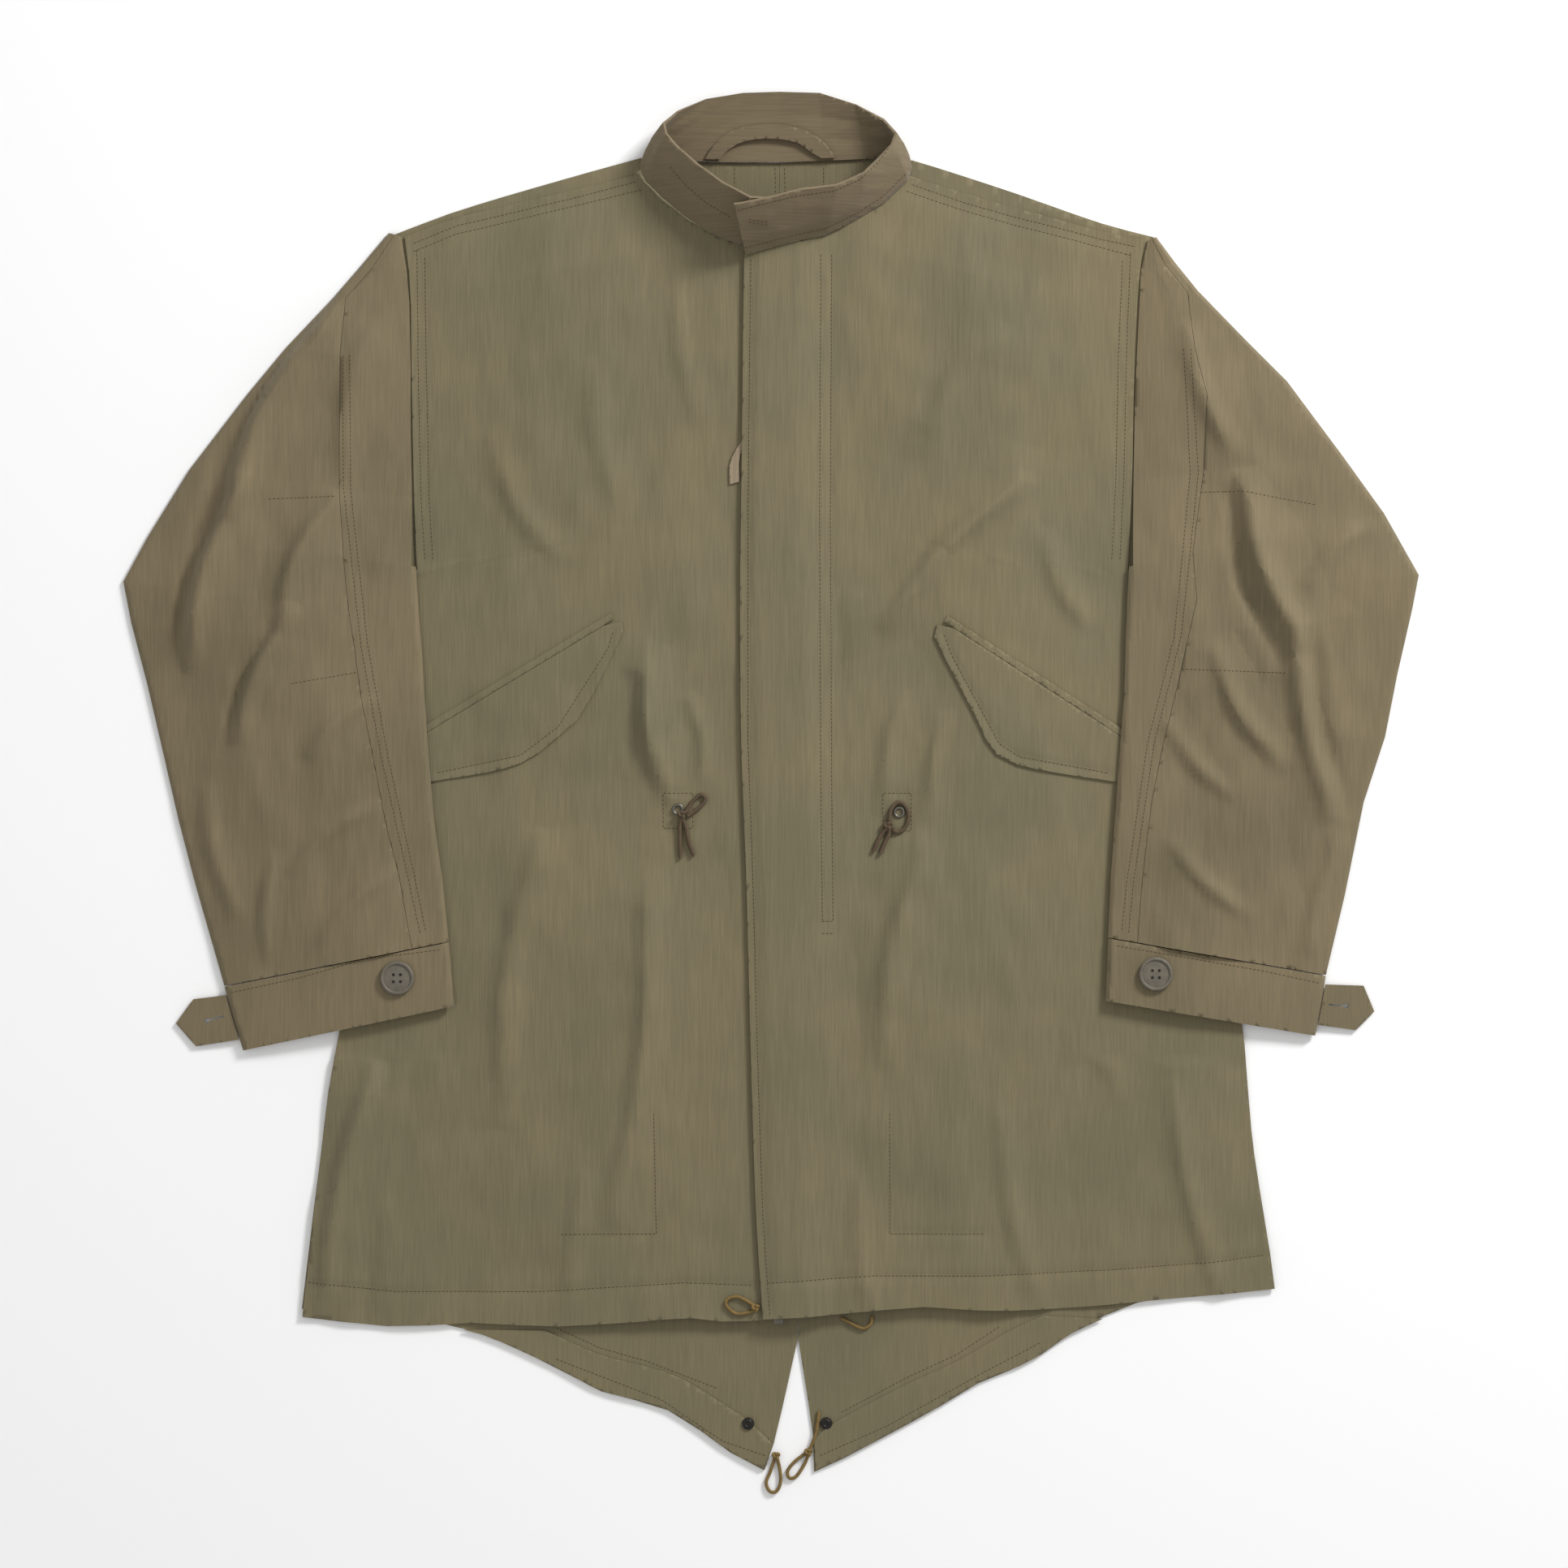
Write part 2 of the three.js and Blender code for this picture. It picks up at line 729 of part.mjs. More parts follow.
function tab(side) {
  const { corners, eye, slotEnd } = TABS[side];
  const shape = new THREE.Shape(corners.map(([x, y]) => new THREE.Vector2(x, y)));
  const centre = new THREE.Vector2(...eye);
  const end = new THREE.Vector2(...slotEnd);
  const along = end.clone().sub(centre).normalize();
  const away = new THREE.Vector2(-along.y, along.x);
  const start = Math.atan2(along.y, along.x);
  const half = Math.asin(TAB.slot / TAB.eye);
  const hole = [];
  for (let step = 0; step <= 10; step++) {
    const angle = start + half + ((2 * Math.PI - 2 * half) * step) / 10;
    hole.push(new THREE.Vector2(Math.cos(angle), Math.sin(angle))
      .multiplyScalar(TAB.eye).add(centre));
  }
  hole.push(end.clone().addScaledVector(away, -TAB.slot));
  hole.push(end.clone().addScaledVector(away, TAB.slot));
  shape.holes.push(new THREE.Path(hole));
  const geometry = new THREE.ExtrudeGeometry(shape, { depth: TAB.thick, bevelEnabled: false });
  const rootX = Math.abs(corners[0][0]);
  const reach = Math.abs(corners[2][0]) - rootX;
  const places = geometry.getAttribute("position");
  for (let i = 0; i < places.count; i++) {
    const share = (Math.abs(places.getX(i)) - rootX) / reach;
    places.setZ(i, places.getZ(i) + lerp(TAB.root, TAB.tip, share));
  }
  add(`${side}_cuff_tab`, geometry, "trim");
}

const BUTTONS = { right: [-277, -145], left: [285, -142] };

function button(side) {
  const [x, y] = BUTTONS[side];
  const disc = new THREE.Shape().absarc(0, 0, BUTTON.radius, 0, 2 * Math.PI);
  for (const [sx, sy] of [[-1, -1], [1, -1], [1, 1], [-1, 1]]) {
    const hole = new THREE.Path();
    hole.absarc(sx * BUTTON.pitch, sy * BUTTON.pitch, BUTTON.hole, 0, 2 * Math.PI, true);
    disc.holes.push(hole);
  }
  const settings = { depth: BUTTON.thick, bevelEnabled: false, curveSegments: 7 };
  const mesh = add(`${side}_cuff_button`, new THREE.ExtrudeGeometry(disc, settings), "button");
  const stations = CUFFS[side][1];
  const share = (Math.abs(stations.ox) - Math.abs(x)) / (Math.abs(stations.ox) - Math.abs(stations.ix));
  mesh.position.set(x, y, cuffHeight(side, share, x, y) + LAYER_GAP + 0.5);
}

// The stand collar, from its under end round the back of the neck to its over end.
const COLLAR_STATIONS = table(["bx", "by", "bz", "tx", "ty", "tz"], [
  [5, 405, 9.5, 9, 430, 41],
  [-22, 399, 9.2, -15, 430, 46],
  [-41, 406, 8.6, -33, 439, 43],
  [-62, 419, 7.6, -53, 454, 38],
  [-80, 434, 5.8, -67, 467, 33],
  [-93, 447, 4.6, -77, 479, 29],
  [-97, 457, 4.4, -79, 487, 25],
  [-87, 461.5, 3.6, -69, 496, 19],
  [-59, 461.5, 2.8, -48, 506, 13],
  [-27, 460.5, 2.8, -21, 511, 10],
  [6, 460.5, 2.8, 6, 512, 9],
  [39, 461.5, 2.8, 36, 511, 10],
  [69, 463, 2.8, 63, 502, 13],
  [92, 462, 3.6, 83, 490, 19],
  [104, 456, 4.4, 92, 479, 25],
  [101, 447, 4.8, 89, 470, 29],
  [83, 430, 6.6, 81, 461, 33],
  [62, 417, 8.4, 68, 448, 39],
  [40, 406, 11.4, 48, 439, 44],
  [10, 399.5, 14.4, 21, 435, 48],
  [-19, 391, 13.2, -27, 424, 50],
]);

function collar() {
  const low = COLLAR_STATIONS.map(({ bx, by, bz }) => new THREE.Vector3(bx, by, bz));
  const high = COLLAR_STATIONS.map(({ tx, ty, tz }) => new THREE.Vector3(tx, ty, tz));
  const rows = shares([0, 1], [3]);
  const middle = rows.map((v) => low.map((point, i) => point.clone().lerp(high[i], v)));
  const normals = rows.map((v, r) =>
    low.map((point, i) => {
      const after = middle[r][Math.min(i + 1, low.length - 1)];
      const before = middle[r][Math.max(i - 1, 0)];
      const along = after.clone().sub(before);
      return high[i].clone().sub(point).cross(along).normalize();
    }),
  );
  const grid = (offset) =>
    rows.map((v, r) =>
      low.map((point, i) => {
        const bulge = COLLAR_BULGE * Math.sin(Math.PI * v);
        return middle[r][i].clone().addScaledVector(normals[r][i], bulge + offset);
      }),
    );
  add("collar", wallBetween(grid(COLLAR_WALL / 2), grid(-COLLAR_WALL / 2)), "collar");
}

// The hanger loop, an arched band inside the back of the collar.
function hangerLoop() {
  const low = outline([
    [-38, 462, 0],
    [-33, 468, 0.15],
    [-21, 475, 0.32],
    [0, 477.5, 0.52],
    [19, 474.5, 0.69],
    [29, 468, 0.84],
    [37, 463, 1],
  ]);
  const high = outline([
    [-49, 462.5, 0],
    [-42, 473, 0.15],
    [-27, 484, 0.32],
    [0, 488, 0.52],
    [24, 484, 0.7],
    [39, 475, 0.86],
    [48, 463.5, 1],
  ]);
  const place = (u, v) => {
    const a = low(u);
    const b = high(u);
    return { x: lerp(a.x, b.x, v), y: lerp(a.y, b.y, v) };
  };
  const onCollar = (x, y) => 4.6 + 6.5 * ((y - 461) / 51);
  add("hanger_loop", layer(place, shares([0, 1], [14]), [0, 1], onCollar, CLOTH), "collar");
}

// A slanted pocket: its flap hangs from a welt, and its outer end goes under the sleeve.
const POCKETS = {
  right: {
    top: [[-262, 33, 0], [-116, 121, 0.97], [-111, 119, 1]],
    low: [
      [-262, 0, 0],
      [-250, 1, 0.1],
      [-186, 14, 0.5],
      [-156, 35, 0.68],
      [-141, 50, 0.77],
      [-116, 98, 0.96],
      [-109.5, 112, 1],
    ],
    normal: [-0.516, 0.856],
    surface: frontTop,
  },
  left: {
    top: [[266, 30, 0], [128, 119, 0.97], [123, 117, 1]],
    low: [
      [266, 0, 0],
      [252, 1, 0.1],
      [183, 13, 0.5],
      [165, 23, 0.6],
      [152, 48, 0.76],
      [129, 92, 0.94],
      [121, 108, 1],
    ],
    normal: [0.542, 0.84],
    surface: leftTop,
  },
};

function pocket(side) {
  const { top, low, normal, surface } = POCKETS[side];
  const high = outline(top.map((row, i) => (i === 1 ? [...row, true] : row)));
  const under = outline(low);
  const between = (u, v) => {
    const a = under(u);
    const b = high(u);
    return { x: lerp(a.x, b.x, v), y: lerp(a.y, b.y, v) };
  };
  const onFront = (x, y) => surface(x, y) + LAYER_GAP + 0.2;
  const columns = shares([0, 1], [12]);
  add(`${side}_pocket_flap`, layer(between, columns, [0, 0.5, 1], onFront, FLAP), "shell");
  const along = (u, v) => {
    const { x, y } = high(u * 0.97);
    const away = SEAM + v * WELT.wide;
    return { x: x + normal[0] * away, y: y + normal[1] * away };
  };
  add(`${side}_pocket_welt`, layer(along, columns, [0, 1], onFront, WELT.thick), "shell");
}

// The zip, closed up to its slider, between the right front and the fly.
function zip() {
  const onRight = (x, y) => frontUnderside(x, y) + ZIP.lift;
  const tapes = { right_zip_tape: [-3, ZIP.x], left_zip_tape: [ZIP.x + SEAM, 18] };
  for (const [name, [from, to]] of Object.entries(tapes)) {
    const place = (u, v) => ({ x: lerp(from, to, u), y: lerp(ZIP.low, ZIP.high, v) });
    add(name, layer(place, [0, 1], shares([0, 1], [26]), onRight, ZIP.tape), "trim");
  }
  const slider = new THREE.BoxGeometry(9, 13, 1.6);
  const base = onRight(ZIP.x, ZIP_SLIDER_Y) + ZIP.tape + LAYER_GAP;
  add("zip_slider", slider, "metal", { roughness: 0.4, metalness: 0.8 })
    .position.set(ZIP.x, ZIP_SLIDER_Y, base + 0.8);
  const stop = new THREE.BoxGeometry(7, 5, 1.4);
  add("zip_stop", stop, "metal", { roughness: 0.4, metalness: 0.8 })
    .position.set(ZIP.x + 0.5, ZIP.low - 3, onRight(ZIP.x, ZIP.low) + 0.7);
  const ribbon = outline([
    [-4.6, 271, 0],
    [-13, 263, 0.2],
    [-22, 250, 0.45],
    [-27, 238, 0.7],
    [-27, 222, 1],
  ]);
  const place = (u, v) => {
    const here = ribbon(v);
    const wide = lerp(2, 7, Math.min(1, v * 1.4));
    return { x: here.x + (u - 0.5) * wide, y: here.y + (u - 0.5) * 2 };
  };
  const onFront = (x, y) => frontTop(x, y) + LAYER_GAP + 0.05;
  add("zip_pull", layer(place, [0, 1], shares([0, 1], [8]), onFront, 1.2), "ribbon");
}

function ring(name, [x, y], base, { bore, radius, thick }, colour) {
  const profile = [
    [bore, 0],
    [radius, 0],
    [radius, thick * 0.5],
    [(radius + bore) / 2, thick],
    [bore, thick * 0.5],
    [bore, 0],
  ].map(([r, z]) => new THREE.Vector2(r, z));
  const geometry = new THREE.LatheGeometry(profile, 16);
  geometry.rotateX(Math.PI / 2);
  add(name, geometry, colour, { roughness: 0.35, metalness: 0.9 }).position.set(x, y, base);
}

function snap(name, [x, y], base) {
  const profile = [
    [0, 0],
    [SNAP.radius, 0],
    [SNAP.radius, SNAP.thick * 0.5],
    [SNAP.radius * 0.55, SNAP.thick],
    [0, SNAP.thick],
  ].map(([r, z]) => new THREE.Vector2(r, z));
  const geometry = new THREE.LatheGeometry(profile, 16);
  geometry.rotateX(Math.PI / 2);
  add(name, geometry, "dark_metal", { roughness: 0.4, metalness: 0.8 }).position.set(x, y, base);
}

// A cord's tube along its route, which lies on a surface.
function cord(name, route, diameter, colour) {
  const curve = new THREE.CatmullRomCurve3(route.map(([x, y, z]) => new THREE.Vector3(x, y, z)));
  const disc = new THREE.Shape(
    shares([0, 1], [CORD_SIDES]).slice(0, -1).map((share) => {
      const angle = 2 * Math.PI * share;
      return new THREE.Vector2(Math.cos(angle), Math.sin(angle)).multiplyScalar(diameter / 2);
    }),
  );
  const steps = Math.max(6, Math.round(curve.getLength() / (2 * diameter)));
  add(name, new THREE.ExtrudeGeometry(disc, { steps, extrudePath: curve }), colour);
}

function knot(name, [x, y, z], radius, colour) {
  const geometry = new THREE.SphereGeometry(radius, 10, 7);
  geometry.scale(1, 1, 0.85);
  add(name, geometry, colour).position.set(x, y, z);
}

const EYELETS = { right: [-69, -20], left: [95, -22] };
const SNAPS = { right: [-17, -476], left: [41, -476] };
// The drawcords' knots, loops and free ends, as places on the cloth and heights over it.
const DRAWCORDS = {
  right: {
    knot: [-66, -24, 4.6],
    loop: [
      [-62.6, -21, 4.4],
      [-58, -14, 3.4],
      [-52, -9, 2.4],
      [-48.5, -12.5, 2],
      [-53, -18.5, 2.2],
      [-61.8, -25.4, 4],
    ],
    ends: [
      [[-67.6, -28.4, 4], [-67, -38, 2], [-66.5, -46, 1.9], [-62.6, -55, 1.9]],
      [[-63.8, -28.4, 4], [-62.6, -38, 2], [-61, -46, 1.9], [-57, -54, 1.9]],
    ],
  },
  left: {
    knot: [86.5, -32, 4.2],
    loop: [
      [87.6, -28, 4],
      [88.6, -21, 3.6],
      [94, -14.8, 3.8],
      [100, -18, 3.4],
      [102, -26, 2.4],
      [99, -34, 2],
      [93.5, -37, 2.2],
      [90.2, -34.6, 3.6],
    ],
    ends: [
      [[83.8, -35.2, 3.6], [80.6, -41, 2], [77, -50, 1.9]],
      [[87.8, -36.2, 3.4], [84.8, -43, 2], [82, -51, 1.9]],
    ],
  },
};

function drawcord(side, surface) {
  const { knot: place, loop, ends } = DRAWCORDS[side];
  const [x, y] = EYELETS[side];
  ring(`${side}_waist_eyelet`, [x, y], surface(x, y) + EYELET_STAND, EYELET, "metal");
  const ground = surface(place[0], place[1]);
  const raised = (route) => route.map(([cx, cy, over]) => [cx, cy, ground + over]);
  knot(`${side}_waist_knot`, raised([place])[0], 3, "drawcord");
  cord(`${side}_waist_loop`, raised(loop), DRAWCORD, "drawcord");
  ends.forEach((end, i) => {
    cord(`${side}_waist_end_${i + 1}`, raised(end), DRAWCORD, "drawcord");
  });
}

// The elastic cords' loops at the hem and at the fishtail's points, with their knots.
function hemCords() {
  const hem = frontTop(-20, -390) + LAYER_GAP + SHOCK_CORD / 2;
  const tail = CLOTH + LAYER_GAP + SHOCK_CORD / 2;
  const floor = SHOCK_CORD / 2 + 0.2;
  const onCasing = CLOTH + LAYER_GAP + CASING + LAYER_GAP + SHOCK_CORD / 2;
  const knots = {
    right_hem_knot: [-11.5, -389, hem + 1.2],
    right_tail_knot: [3.6, -500, 2.6],
    left_tail_knot: [27.6, -497.5, 2.6],
  };
  for (const [name, place] of Object.entries(knots)) knot(name, place, 2.8, "shock_cord");
  const routes = {
    right_hem_loop: [
      [-15, -387.4, hem + 0.6],
      [-24, -381.5, hem],
      [-32, -383, hem],
      [-33, -388, hem],
      [-25, -394, hem],
      [-15, -391.6, hem + 0.6],
    ],
    left_hem_loop: [
      [52, -378, tail],
      [57, -391, tail],
      [63, -402, tail],
      [69, -405.5, tail],
      [74, -401, tail],
      [73, -390, tail],
      [70, -378, tail],
    ],
    right_tail_loop: [
      [2.4, -502.8, 2.2],
      [-0.6, -512, floor],
      [-3.6, -520, floor],
      [-1, -527, floor],
      [4, -527, floor],
      [7, -520, floor],
      [6.6, -511, floor],
      [5, -502.9, 2.2],
    ],
    left_tail_strand: [
      [35.6, -467, onCasing],
      [34.6, -475, onCasing],
      [33, -484, onCasing],
      [29.6, -493.6, onCasing - 0.8],
    ],
    left_tail_loop: [
      [24.6, -499, 2],
      [18, -504, floor],
      [12.5, -511, floor],
      [13.4, -516.5, floor],
      [18.6, -515.5, floor],
      [23.4, -509, floor],
      [26.6, -501.8, 2],
    ],
  };
  for (const [name, route] of Object.entries(routes)) {
    cord(name, route, SHOCK_CORD, "shock_cord");
  }
}

fronts();
back();
tailCasings();
collar();
hangerLoop();
zip();
for (const side of ["right", "left"]) {
  sleeve(side);
  cuff(side);
  tab(side);
  button(side);
  pocket(side);
  drawcord(side, side === "right" ? frontTop : leftTop);
  snap(`${side}_tail_snap`, SNAPS[side], CLOTH + LAYER_GAP + CASING + LAYER_GAP);
}
hemCords();

export default group;
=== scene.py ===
"""The parka laid flat on its back, dressed for rendering on its CAD frame."""

import math

import bmesh
import bpy
import numpy as np
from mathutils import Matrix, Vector, noise
from mathutils.bvhtree import BVHTree


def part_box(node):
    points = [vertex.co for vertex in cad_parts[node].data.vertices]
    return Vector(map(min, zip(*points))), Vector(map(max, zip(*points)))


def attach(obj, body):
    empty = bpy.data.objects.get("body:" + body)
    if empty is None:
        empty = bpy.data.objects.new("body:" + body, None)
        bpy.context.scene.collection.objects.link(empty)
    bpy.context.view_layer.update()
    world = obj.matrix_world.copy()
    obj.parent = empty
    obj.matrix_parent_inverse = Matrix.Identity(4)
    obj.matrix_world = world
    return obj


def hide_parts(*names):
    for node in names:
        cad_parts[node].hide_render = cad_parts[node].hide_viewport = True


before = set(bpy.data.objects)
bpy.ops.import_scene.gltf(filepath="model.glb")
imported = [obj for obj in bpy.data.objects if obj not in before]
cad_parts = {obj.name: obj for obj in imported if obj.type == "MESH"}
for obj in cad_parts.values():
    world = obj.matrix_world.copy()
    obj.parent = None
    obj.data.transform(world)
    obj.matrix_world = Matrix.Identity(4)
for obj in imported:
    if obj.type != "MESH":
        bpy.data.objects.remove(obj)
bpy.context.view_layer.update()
MM = 0.001

# The floor, the light and a camera straight above.
bpy.ops.mesh.primitive_plane_add(size=12, location=(0, 0, -0.0004))
floor = bpy.context.object
floor.name = "floor"
floor_material = bpy.data.materials.new("floor")
floor_material.use_nodes = True
floor_shader = floor_material.node_tree.nodes["Principled BSDF"]
floor_shader.inputs["Base Color"].default_value = (0.93, 0.93, 0.93, 1)
floor_shader.inputs["Roughness"].default_value = 0.9
floor.data.materials.append(floor_material)
camera_data = bpy.data.cameras.new("camera")
camera_data.sensor_width = 36
CAMERA_AWAY = 4
FRAMED_WIDTH = 1.1592
camera_data.lens = camera_data.sensor_width * CAMERA_AWAY / FRAMED_WIDTH
camera = bpy.data.objects.new("camera", camera_data)
camera.location = (0.0096, -0.0012, 4.02)
bpy.context.scene.collection.objects.link(camera)
bpy.context.scene.camera = camera
# Each lamp's place and size in metres and its power in watts.
LAMPS = (
    ("key", (2.1, 2.3, 1.75), 118, 0.8),
    ("fill", (-1.8, -0.6, 2.6), 6, 2.4),
)
for label, spot, power, size in LAMPS:
    lamp = bpy.data.lights.new(label, "AREA")
    lamp.energy = power
    lamp.size = size
    holder = bpy.data.objects.new(label, lamp)
    holder.location = spot
    holder.rotation_euler = (-Vector(spot)).to_track_quat("-Z", "Y").to_euler()
    bpy.context.scene.collection.objects.link(holder)
world = bpy.data.worlds.new("world")
bpy.context.scene.world = world
world.use_nodes = True
world.node_tree.nodes["Background"].inputs["Color"].default_value = (1, 1, 1, 1)
world.node_tree.nodes["Background"].inputs["Strength"].default_value = 0.6
bpy.context.scene.view_settings.view_transform = "Standard"

# Cloth pieces and the size of their dense grid's cells, in millimetres.
CLOTH = {
    "right_front": 4.5,
    "left_front": 4.5,
    "right_back": 6,
    "left_back": 6,
    "right_sleeve_outer": 4,
    "right_sleeve_inner": 4,
    "left_sleeve_outer": 4,
    "left_sleeve_inner": 4,
    "right_cuff": 3.5,
    "left_cuff": 3.5,
    "collar": 3,
    "right_pocket_flap": 3,
    "left_pocket_flap": 3,
    "right_pocket_welt": 3,
    "left_pocket_welt": 3,
    "right_tail_casing": 4,
    "left_tail_casing": 4,
    "right_cuff_tab": 3,
    "left_cuff_tab": 3,
    "hanger_loop": 3,
    "zip_pull": 1.5,
    "right_zip_tape": 4,
    "left_zip_tape": 4,
}

# Creases as (from x, y, to x, y, bend, half width, height): a ridge is positive.
FRONT_CREASES = [
    (-92, 80, -78, -5, 6, 7, 2.6),
    (-104, 70, -95, -12, 4, 5, -2.2),
    (-60, 60, -52, 6, -4, 6, 1.8),
    (-175, -60, -198, -232, 10, 10, 2.4),
    (-92, -90, -114, -300, -8, 9, 2.2),
    (-132, 300, -112, 205, 6, 10, 1.4),
    (-205, 250, -160, 170, 8, 9, 1.6),
    (-70, 380, -58, 280, 4, 7, 1.2),
    (-300, -228, -331, -376, 6, 7, 3.2),
    (-286, -224, -300, -380, 6, 6, -2.2),
    (-235, -60, -262, -180, 5, 8, 1.6),
    (-140, -300, -150, -390, 3, 7, 1.2),
    (178, 216, 92, 126, 8, 7, 2.8),
    (150, 222, 76, 150, 6, 6, -2),
    (96, 60, 84, -14, 4, 7, 2),
    (128, 44, 118, -20, 4, 6, 1.6),
    (110, -60, 84, -192, 8, 9, 2.2),
    (168, 330, 120, 268, 8, 10, 1.4),
    (205, 180, 232, 120, 6, 8, 1.6),
    (232, -70, 252, -220, 8, 10, 1.9),
    (170, -250, 196, -380, 5, 8, 1.5),
    (300, -240, 330, -370, 5, 8, 1.8),
    (64, -300, 72, -386, 3, 6, 1.2),
]
SLEEVE_CREASES = [
    (-335, 338, -396, 214, 12, 8, 4.2),
    (-352, 330, -418, 190, 14, 7, -3.4),
    (-396, 214, -430, 100, 8, 8, 4),
    (-412, 205, -440, 90, 8, 6, -3),
    (-327, 205, -362, 126, 8, 7, 3.2),
    (-358, 120, -394, 42, 6, 7, 3.2),
    (-372, 112, -404, 30, 6, 5, -2.4),
    (-300, 330, -318, 240, 6, 8, 2),
    (-300, 60, -340, 24, 4, 6, 2),
    (-300, -20, -352, -62, 5, 6, 2),
    (-285, -70, -330, -112, 4, 5, 1.8),
    (-420, -10, -400, -90, 5, 6, 2.2),
    (-370, -60, -374, -126, 3, 5, 2),
    (352, 216, 388, 112, 8, 8, 3.8),
    (340, 205, 372, 100, 8, 6, -2.8),
    (388, 112, 412, -12, 6, 8, 3.4),
    (402, 100, 424, -10, 6, 6, -2.4),
    (330, 92, 374, 18, 6, 7, 2.6),
    (310, 330, 340, 250, 6, 8, 2),
    (296, 40, 336, -6, 4, 6, 1.8),
    (300, -50, 350, -96, 4, 6, 1.8),
    (420, -50, 400, -118, 4, 6, 2),
    (440, 190, 400, 150, 5, 7, 2.2),
]


def dense_copy(name, cell):
    """A dense mesh of a CAD node's own solid, cut into even cells."""
    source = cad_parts[name]
    mesh = source.data.copy()
    mesh.transform(source.matrix_world)
    obj = bpy.data.objects.new(f"cloth_{name}", mesh)
    bpy.context.scene.collection.objects.link(obj)
    bm = bmesh.new()
    bm.from_mesh(mesh)
    bmesh.ops.remove_doubles(bm, verts=bm.verts, dist=1e-5)
    for axis in (0, 1):
        low = min(v.co[axis] for v in bm.verts)
        high = max(v.co[axis] for v in bm.verts)
        step = cell * MM
        place = low + step
        while place < high:
            co = Vector((0, 0, 0))
            co[axis] = place
            no = Vector((0, 0, 0))
            no[axis] = 1
            bmesh.ops.bisect_plane(
                bm, geom=bm.verts[:] + bm.edges[:] + bm.faces[:], plane_co=co, plane_no=no, dist=1e-6
            )
            place += step
    bmesh.ops.recalc_face_normals(bm, faces=bm.faces)
    bm.to_mesh(mesh)
    bm.free()
    return obj


CREASE_STRENGTH = 2.2  # how much fuller the creases are than their tabled heights
STITCH_DEPTH = 0.7
STITCH_REACH = 2.6
STITCH_PITCH = 3.0
SLEEVE_LINE = (264, 238)
SIDE_SEAM = {-1: (306, 0.043), 1: (308, 0.128)}


def smooth(low, high, value):
    t = np.clip((value - low) / (high - low), 0, 1)
    return t * t * (3 - 2 * t)


def creases(rows, x, y):
    """The height that the creases add at many places, in millimetres."""
    total = np.zeros_like(x)
    for x1, y1, x2, y2, bend, wide, high in rows:
        dx, dy = x2 - x1, y2 - y1
        length = math.hypot(dx, dy)
        t = ((x - x1) * dx + (y - y1) * dy) / length**2
        inside = np.clip(t, 0, 1)
        side = ((x - x1) * dy - (y - y1) * dx) / length
        side -= bend * np.sin(np.pi * inside)
        ends = np.sin(np.pi * np.clip((t + 0.15) / 1.3, 0, 1)) ** 0.6
        steepness = np.where(side > 0, 1.6, 0.8)
        total += CREASE_STRENGTH * high * ends * np.exp(-((side / wide) ** 2) * steepness)
    return total


def ripples(x, y):
    """The small unevenness of worn cloth, in millimetres."""
    return np.array([
        2.4 * noise.noise(Vector((a / 48, b / 80, 1.3))) + 0.9 * noise.noise(Vector((a / 17, b / 30, 8.1)))
        for a, b in zip(x, y)
    ])


